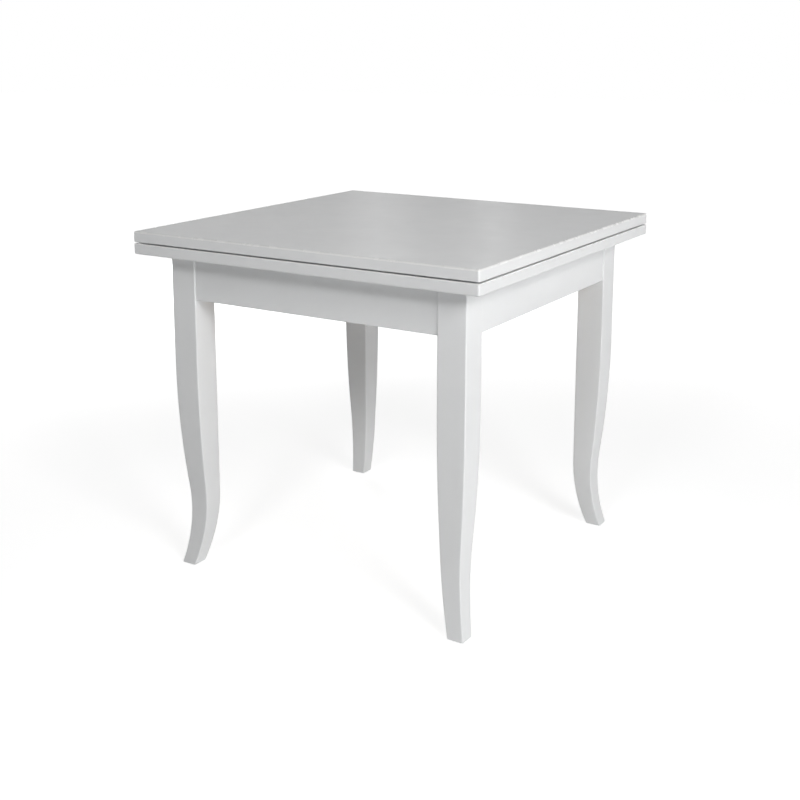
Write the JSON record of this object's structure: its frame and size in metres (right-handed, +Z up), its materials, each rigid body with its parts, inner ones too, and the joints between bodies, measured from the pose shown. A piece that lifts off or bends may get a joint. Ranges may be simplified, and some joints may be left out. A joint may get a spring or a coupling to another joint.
{
  "type": "extending dining table",
  "caption": "Square white lacquered dining table with sabre legs; its double top slides half its length and unfolds like a book to twice the length.",
  "frame": {"origin": "on the floor, under the middle of the closed table", "axes": "+X is the way the top slides, Y runs along the hinged edge, +Z is up; -Y is the front"},
  "size_m": [0.85, 0.85, 0.777],
  "materials": {
    "white_lacquer": "white lacquered wood, satin",
    "beech": "planed beech, clear sealed",
    "zinc_steel": "zinc plated",
    "nickel_steel": "nickel plated",
    "felt": "pressed grey felt",
    "rubber": "matt black rubber",
    "nylon": "moulded natural nylon"
  },
  "bodies": {
    "frame": {"leg_front_left": "white_lacquer", "leg_front_right": "white_lacquer", "leg_back_left": "white_lacquer", "leg_back_right": "white_lacquer", "foot_glide_front_left": "nylon", "foot_glide_front_right": "nylon", "foot_glide_back_left": "nylon", "foot_glide_back_right": "nylon", "apron_front": "white_lacquer", "apron_back": "white_lacquer", "apron_left": "white_lacquer", "apron_right": "white_lacquer", "corner_block_front_left": "beech", "corner_block_front_right": "beech", "corner_block_back_left": "beech", "corner_block_back_right": "beech", "guide_rail_front": "beech", "guide_rail_back": "beech", "cross_rail": "beech", "frame_dowels": "beech", "hanger_bolts": "zinc_steel", "bolt_washers": "zinc_steel", "bolt_nuts": "zinc_steel", "corner_block_screws": "zinc_steel", "guide_rail_screws": "zinc_steel", "slide_buffers": "rubber", "glide_strip_front": "felt", "glide_strip_back": "felt", "glide_strip_left": "felt", "glide_strip_right": "felt"},
    "lower_leaf": {"lower_leaf": "white_lacquer", "slider_front": "beech", "slider_back": "beech", "leaf_batten": "beech", "slider_screws": "zinc_steel", "batten_screws": "zinc_steel", "lower_hinge_plate_front": "nickel_steel", "lower_hinge_plate_middle": "nickel_steel", "lower_hinge_plate_back": "nickel_steel", "lower_hinge_screws": "nickel_steel", "lower_hinge_pins": "zinc_steel", "leaf_bumpers": "rubber"},
    "hinge_links": {"hinge_link_front": "nickel_steel", "hinge_link_middle": "nickel_steel", "hinge_link_back": "nickel_steel"},
    "upper_leaf": {"upper_leaf": "white_lacquer", "upper_hinge_plate_front": "nickel_steel", "upper_hinge_plate_middle": "nickel_steel", "upper_hinge_plate_back": "nickel_steel", "upper_hinge_screws": "nickel_steel", "upper_hinge_pins": "zinc_steel"}
  },
  "joints": [
    {"name": "top_slide", "type": "slide", "parent": "frame", "child": "lower_leaf", "axis": [1, 0, 0], "range_m": [0, 0.425]},
    {"name": "link_turn", "type": "hinge", "parent": "lower_leaf", "child": "hinge_links", "pos_m": [-0.4206, 0, 0.7468], "axis": [0, -1, 0], "range_deg": [0, 90]},
    {"name": "leaf_turn", "type": "hinge", "parent": "hinge_links", "child": "upper_leaf", "pos_m": [-0.4206, 0, 0.7562], "axis": [0, -1, 0], "range_deg": [0, 90]}
  ]
}
